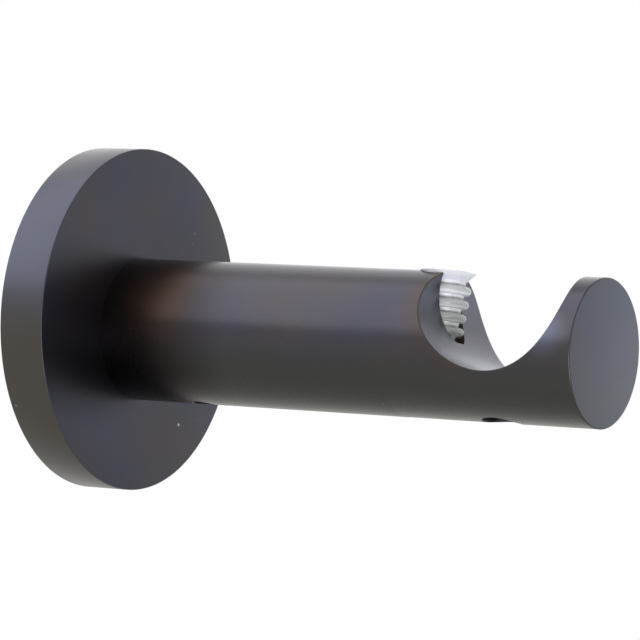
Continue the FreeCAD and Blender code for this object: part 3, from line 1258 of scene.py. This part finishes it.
def make_post_plating():
    """Plating rubbed warm beside the seat with bronze on its edge, plus painted shade, light and
    reflection.
    """
    material, tree, shader, place, colour = start_plating(
        "post_plating", PLATING_DARK, PLATING_ROUGHNESS)
    along, aside, height = (part_of(tree, place, axis) for axis in "XYZ")
    # Painted shade on the underside.
    under_shade = maths(tree, "MULTIPLY", spread(tree, height, *UNDER_SHADE_FADE), on_bar(tree, place))
    colour = blend_colours(tree, under_shade, colour, PLATING_UNDER_SHADE)
    # Painted shade towards the rose, darker still on the underside.
    near_rose_shade = blend_colours(tree, under_shade, PLATING_NEAR_ROSE_SHADE, PLATING_NEAR_ROSE_SHADE_UNDER)
    colour = blend_colours(tree, spread(tree, along, *NEAR_ROSE_SHADE_FADE), colour, near_rose_shade)
    # Painted warm reflection round the root, above the axis and strongest on the near side.
    root = maths(tree, "MULTIPLY", near_root(tree, along, ROOT_RING, ROOT_REACH),
                 spread(tree, height, *ABOVE_FADE))
    reflection_side = spread(tree, aside, *ROOT_REFLECTION_SIDE_FADE, ROOT_REFLECTION_LEAST, 1.0)
    root = maths(tree, "MULTIPLY", root, reflection_side)
    colour = blend_colours(tree, root, colour, PLATING_ROOT_REFLECTION)
    rubbed = maths(tree, "MULTIPLY", near_seat(tree, place, RUBBED_REACH),
                   on_wall_side(tree, place))
    colour = blend_colours(tree, rubbed, colour, PLATING_RUBBED)
    # Painted light inside the seat: lighter on its far side and low down.
    far_side = spread(tree, aside, *SEAT_FAR_LIGHT_FADE)
    low_side = spread(tree, height, *SEAT_LOW_LIGHT_FADE)
    seat_lit_colour = blend_colours(tree, far_side, PLATING_SEAT, PLATING_SEAT_FAR_LIGHT)
    seat_lit_colour = blend_colours(tree, low_side, seat_lit_colour, PLATING_SEAT_LOW_LIGHT)
    colour = blend_colours(tree, in_seat(tree, place), colour, seat_lit_colour)
    # Painted highlight on the lug.
    lug_highlight = near_spot(tree, place, LUG_HIGHLIGHT_PLACE, LUG_HIGHLIGHT_REACH)
    colour = blend_colours(tree, lug_highlight, colour, PLATING_LUG_HIGHLIGHT)
    edge = maths(tree, "MULTIPLY", edge_share(tree, WORN_EDGE_WIDTH, *WORN_EDGE_FADE),
                 near_seat(tree, place, WORN_EDGE_REACH))
    worn = spread(tree, noise(tree, place, *WORN_NOISE), *WORN_FADE)
    colour = blend_colours(tree, maths(tree, "MULTIPLY", edge, worn), colour, PLATING_BRONZE)
    bare = in_pocket(tree, place)
    colour = blend_colours(tree, bare, colour, BARE_CASTING)
    feed(tree, shader.inputs["Metallic"], maths(tree, "SUBTRACT", 1, bare))
    feed(tree, shader.inputs["Base Color"], specks(tree, place, colour, POST_DUST))
    return material


post_plating = make_post_plating()
print("made", post_plating.name, "of", len(post_plating.node_tree.nodes), "nodes")

# %% [markdown]
# The rose's rim is told from its face by the direction of its surface: on the face the normal
# points along X, and on the rim it doesn't.

# %% The rose's plating
RIM_NORMAL_FADE = (0.9, 0.3)
# Painted light and a painted warm reflection on the rim, by height.
RIM_LIGHT_HEIGHT_FADE = (-7 * MM, 4 * MM)
RIM_TOP_LIGHT_FADE = (20 * MM, 28 * MM)
# Painted shade in a band low on the face, on the near side.
ROSE_SHADE_Z = -12 * MM
ROSE_SHADE_FADE = (9 * MM, 3 * MM)
ROSE_SHADE_SIDE = (4 * MM, -12 * MM)


def make_rose_plating():
    """Plating with a band of painted shade low on the face, and painted light on the lighter
    turned rim.
    """
    material, tree, shader, place, colour = start_plating(
        "rose_plating", PLATING_ROSE, ROSE_ROUGHNESS)
    aside, height = part_of(tree, place, "Y"), part_of(tree, place, "Z")
    # Painted shade in a band low on the face, on the near side.
    from_face_shade = maths(tree, "ABSOLUTE", maths(tree, "SUBTRACT", height, ROSE_SHADE_Z))
    face_shade = maths(tree, "MULTIPLY", spread(tree, from_face_shade, *ROSE_SHADE_FADE),
                  spread(tree, aside, *ROSE_SHADE_SIDE))
    colour = blend_colours(tree, face_shade, colour, PLATING_ROSE_SHADE)
    # Painted light on the rim, lighter towards the top, and a painted warm reflection low down.
    rim_lit_colour = blend_colours(tree, spread(tree, height, *RIM_LIGHT_HEIGHT_FADE),
                               PLATING_RIM_LOW_REFLECTION, PLATING_RIM)
    rim_lit_colour = blend_colours(tree, spread(tree, height, *RIM_TOP_LIGHT_FADE),
                               rim_lit_colour, PLATING_RIM_TOP_LIGHT)
    normal = add_node(tree, "ShaderNodeNewGeometry").outputs["Normal"]
    leaning = maths(tree, "ABSOLUTE", part_of(tree, normal, "X"))
    rim = spread(tree, leaning, *RIM_NORMAL_FADE)
    colour = blend_colours(tree, rim, colour, rim_lit_colour)
    feed(tree, shader.inputs["Base Color"], specks(tree, place, colour, ROSE_DUST))
    return material


rose_plating = make_rose_plating()
print("made", rose_plating.name, "of", len(rose_plating.node_tree.nodes), "nodes")

# %% [markdown]
# The plug is a cheap clear plastic, cloudy inside, so light soaks into it and comes back
# nearly white. Down in its pocket its colour carries painted shade, greyer and greener deeper
# down, as a painted reflection of the dark metal round it: a rib's upper flank bends the view
# into the pocket, so it is painted greyer and greener than the flank below.

# %% Clear plastic
PLASTIC_MILKY = (0.93, 0.94, 0.96, 1)
PLASTIC_LILAC = (0.90, 0.90, 0.96, 1)
PLASTIC_HEAD = (0.75, 0.77, 0.86, 1)
# Painted shade deeper in the pocket and on the ribs' upper flanks.
PLASTIC_DEEP_SHADE = (0.68, 0.71, 0.67, 1)
FLANK_SHADE = (0.50, 0.53, 0.52, 1)
FLANK_DEEP_SHADE = (0.31, 0.33, 0.31, 1)
CLOUD_NOISE = (220, 2)
CLOUD_FADE = (0.35, 0.65)
HEAD_TOP_FADE = (crown_z - 0.5 * MM, crown_z - 1.0 * MM)
HEAD_FOOT_FADE = (crown_z - 1.75 * MM, crown_z - 1.5 * MM)
DEEP_SHADE_FADE = (crown_z - 3.4 * MM, crown_z - 9 * MM)
SUNK_FADE = (crown_z - 1.95 * MM, crown_z - 2.25 * MM)
FLANK_START = FIRST_RIB_Z - 0.08 * MM
FLANK_PITCH = 1.05 * RIB_PITCH
FLANK_FADE = (0.75, 0.05)
PLASTIC_GRAIN = (900, 2)
PLASTIC_GRAIN_RANGE = (0.3, 0.7)
PLASTIC_ROUGHNESS_RANGE = (0.12, 0.2)
PLASTIC_CLEARNESS = 0.05
PLASTIC_IOR = 1.49


def make_clear_plastic():
    """Cloudy clear plastic, with painted shade on the ribs' upper flanks and deeper down."""
    material, tree, shader, place = new_finish("cloudy_plastic")
    cloud = spread(tree, noise(tree, place, *CLOUD_NOISE), *CLOUD_FADE)
    colour = blend_colours(tree, cloud, PLASTIC_MILKY, PLASTIC_LILAC)
    height = part_of(tree, place, "Z")
    head = maths(tree, "MULTIPLY", spread(tree, height, *HEAD_TOP_FADE),
                 spread(tree, height, *HEAD_FOOT_FADE))
    colour = blend_colours(tree, head, colour, PLASTIC_HEAD)
    # Painted shade: greyer and greener deeper in the pocket, and darker on the ribs' upper flanks.
    deep_shade = spread(tree, height, *DEEP_SHADE_FADE)
    colour = blend_colours(tree, deep_shade, colour, PLASTIC_DEEP_SHADE)
    flank_shade_colour = blend_colours(tree, deep_shade, FLANK_SHADE, FLANK_DEEP_SHADE)
    turns = maths(tree, "MULTIPLY", maths(tree, "SUBTRACT", FLANK_START, height),
                  2 * math.pi / FLANK_PITCH)
    upper_flank = spread(tree, maths(tree, "SINE", turns), *FLANK_FADE)
    shaded = maths(tree, "MULTIPLY", upper_flank, spread(tree, height, *SUNK_FADE))
    colour = blend_colours(tree, shaded, colour, flank_shade_colour)
    feed(tree, shader.inputs["Base Color"], colour)
    grain = spread(tree, noise(tree, place, *PLASTIC_GRAIN),
                   *PLASTIC_GRAIN_RANGE, *PLASTIC_ROUGHNESS_RANGE)
    feed(tree, shader.inputs["Roughness"], grain)
    shader.inputs["Transmission Weight"].default_value = PLASTIC_CLEARNESS
    shader.inputs["IOR"].default_value = PLASTIC_IOR
    return material


cloudy_plastic = make_clear_plastic()
print("made", cloudy_plastic.name)

# %% [markdown]
# The hidden steel is zinc plated: a cool light grey with a faint grain from rolling. The grub
# screw is darker, oiled steel.

# %% Steels
ZINC_LIGHT = (0.55, 0.57, 0.60, 1)
ZINC_DARK = (0.44, 0.46, 0.48, 1)
ZINC_ROUGHNESS = 0.34
ZINC_GRAIN_STRETCH = (1, 1, 8)
OILED_LIGHT = (0.10, 0.10, 0.105, 1)
OILED_DARK = (0.06, 0.06, 0.062, 1)
OILED_ROUGHNESS = 0.36
OILED_GRAIN_STRETCH = (1, 1, 1)
STEEL_GRAIN = (900, 3, 0.6)
STEEL_GRAIN_RANGE = (0.3, 0.7)
STEEL_PATCHES = (120, 3)
STEEL_PATCH_FADE = (0.35, 0.65)
STEEL_BUMP = 0.08
STEEL_GLOSS_BELOW, STEEL_GLOSS_ABOVE = 0.06, 0.08


def make_steel(name, light, dark, roughness, stretch):
    """Steel with cloudy patches and a faint drawn grain."""
    material, tree, shader, place = new_finish(name)
    grain = noise(tree, place, *STEEL_GRAIN, stretch)
    patches = spread(tree, noise(tree, place, *STEEL_PATCHES), *STEEL_PATCH_FADE)
    feed(tree, shader.inputs["Base Color"], blend_colours(tree, patches, light, dark))
    varied = spread(tree, grain, *STEEL_GRAIN_RANGE,
                    roughness - STEEL_GLOSS_BELOW, roughness + STEEL_GLOSS_ABOVE)
    feed(tree, shader.inputs["Roughness"], varied)
    add_bump(tree, shader, grain, STEEL_BUMP)
    shader.inputs["Metallic"].default_value = 1.0
    return material


zinc = make_steel(
    "zinc_plated_steel", ZINC_LIGHT, ZINC_DARK, ZINC_ROUGHNESS, ZINC_GRAIN_STRETCH)
oiled = make_steel(
    "oiled_steel", OILED_LIGHT, OILED_DARK, OILED_ROUGHNESS, OILED_GRAIN_STRETCH)
print("made", zinc.name, "and", oiled.name)

# %% [markdown]
# Each piece wears one finish. The record's slots, named above, group them in the same way.

# %% Dress the pieces
FINISHES = [
    (rose_cover, rose_plating), (post_bar, post_plating), (clear_plug, cloudy_plastic),
    (grub_screw, oiled), (steel_plate, zinc), (steel_spigot, zinc), (countersunk_screw, zinc),
]
for piece, finish in FINISHES:
    piece.data.materials.clear()
    piece.data.materials.append(finish)
    print(piece.name, "is", finish.name)

# %% [markdown]
# The setting is a plain studio: a pale floor well below the bracket, a white surround that
# the camera and mirror-like surfaces see, and a few large soft lamps. The floor lies lower
# than the camera, so in the photograph's view only the white surround is behind the bracket.

# %% Floor and surround
FLOOR_Z = -0.14
FLOOR_SIDE = 4.0
FLOOR_GREY = (0.88, 0.87, 0.83, 1)
FLOOR_MOTTLE = 0.97
FLOOR_NOISE = (2, 2)
FLOOR_FADE = (0.3, 0.7)
FLOOR_ROUGHNESS = 0.9
FLOOR_GLOSS = 0.1
SURROUND_AS_SEEN = 1.0
SURROUND_FOR_LIGHT = 0.75


def make_floor():
    """A plain pale floor, made as a flat grid."""
    mesh = bpy.data.meshes.new("floor")
    shaper = bmesh.new()
    bmesh.ops.create_grid(shaper, x_segments=8, y_segments=8, size=FLOOR_SIDE / 2)
    shaper.to_mesh(mesh)
    shaper.free()
    floor = bpy.data.objects.new("floor", mesh)
    floor.location = (0, 0, FLOOR_Z)
    bpy.context.scene.collection.objects.link(floor)
    material, tree, shader, place = new_finish("pale_floor")
    tone = spread(tree, noise(tree, place, *FLOOR_NOISE), *FLOOR_FADE)
    soft = tuple(FLOOR_MOTTLE * part for part in FLOOR_GREY[:3]) + (1,)
    feed(tree, shader.inputs["Base Color"], blend_colours(tree, tone, FLOOR_GREY, soft))
    shader.inputs["Roughness"].default_value = FLOOR_ROUGHNESS
    shader.inputs["Specular IOR Level"].default_value = FLOOR_GLOSS
    mesh.materials.append(material)
    floor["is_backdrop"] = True
    return floor


def make_surround():
    """A world that is white to the camera and to reflections, and dimmer as a source of light."""
    world = bpy.data.worlds.new("studio")
    bpy.context.scene.world = world
    world.use_nodes = True
    tree = world.node_tree
    background = tree.nodes["Background"]
    ray = add_node(tree, "ShaderNodeLightPath")
    seen = ray.outputs["Is Camera Ray"]
    for kind in ("Is Glossy Ray", "Is Transmission Ray"):
        seen = maths(tree, "MAXIMUM", seen, ray.outputs[kind])
    strength = spread(tree, seen, 0, 1, SURROUND_FOR_LIGHT, SURROUND_AS_SEEN)
    feed(tree, background.inputs["Strength"], strength)
    background.inputs["Color"].default_value = (1, 1, 1, 1)


floor = make_floor()
make_surround()
print(floor.name, "at", FLOOR_Z / MM, "mm")

# %% [markdown]
# Five area lamps. The large one hangs above the wall's side and gives the long soft bands on
# the post. Two more stand behind, one low and one high, and lift the upper edges in a soft
# step. A small cool one lights the end face, and a soft one from the front, below, reaches
# into the plug's pocket.

# %% Lamps
def add_lamp(name, place, towards, side, power, colour):
    """A rectangular area lamp that faces a point. Its surface isn't drawn for the camera."""
    data = bpy.data.lights.new(name, "AREA")
    data.shape = "RECTANGLE"
    data.size, data.size_y = side
    data.energy = power
    data.color = colour
    lamp = bpy.data.objects.new(name, data)
    lamp.location = place
    lamp.rotation_euler = (Vector(towards) - Vector(place)).to_track_quat("-Z", "Y").to_euler()
    lamp.visible_camera = False
    bpy.context.scene.collection.objects.link(lamp)
    return lamp


MIDDLE = (0.045, 0, 0)
END_FACE = (0.101, 0, 0)
PLUG = (0.073, 0, 0.004)
DAYLIGHT = (0.96, 0.97, 1.0)
LAMPS = [
    ("top_lamp", (-0.66, -0.66, 0.92), MIDDLE, (1.5, 1.7), 10.8, DAYLIGHT),
    ("back_lamp", (-0.50, 1.05, 0.40), MIDDLE, (0.7, 0.4), 0.55, (0.95, 0.95, 1.0)),
    ("glow_lamp", (-0.60, 0.65, 0.82), MIDDLE, (0.7, 0.5), 0.36, DAYLIGHT),
    ("end_lamp", (0.148, 0.076, 0.008), END_FACE, (0.07, 0.07), 0.0085, (0.61, 0.80, 1.0)),
    ("plug_lamp", (0.178, -0.137, -0.076), PLUG, (0.12, 0.12), 0.19, (0.95, 0.96, 1.0)),
]
lamps = [add_lamp(*lamp) for lamp in LAMPS]
print("lamps:", [lamp.name for lamp in lamps])

# %% View transform and the visual box
bpy.context.scene.view_settings.view_transform = "Standard"
low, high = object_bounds()
print("visual box in mm:", [round(value / MM, 2) for value in (*low, *high)])
